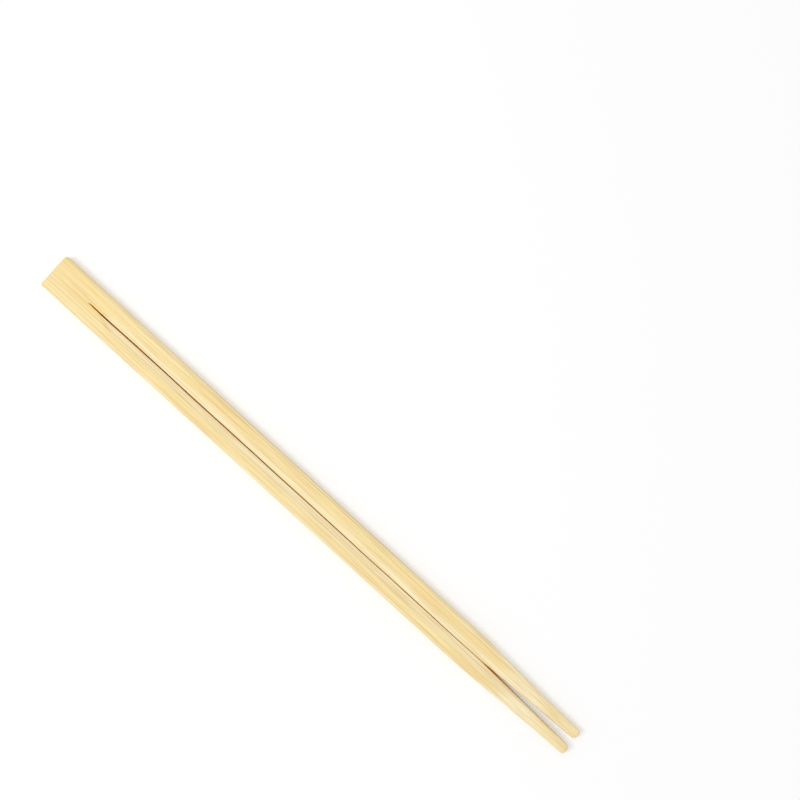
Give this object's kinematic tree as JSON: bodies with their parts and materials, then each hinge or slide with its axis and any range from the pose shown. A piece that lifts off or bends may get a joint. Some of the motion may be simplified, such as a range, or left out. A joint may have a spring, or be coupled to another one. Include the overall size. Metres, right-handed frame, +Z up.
{
  "type": "bamboo chopsticks",
  "caption": "Slim bamboo eating sticks joined at a flat head, divided by a sawn slit, with ridged faces and rounded tapering tips; snapped apart by hand before use.",
  "frame": {"origin": "under the middle of the bounding box, on the plane that the pair lies on", "axes": "+X along the sticks from the joined head to the tips, +Y across the pair, +Z up out of the faces"},
  "size_m": [0.23, 0.0126, 0.0048],
  "materials": {
    "bamboo": "planed raw bamboo, unvarnished satin"
  },
  "bodies": {
    "root": {"joined_chopsticks": "bamboo"}
  },
  "joints": []
}
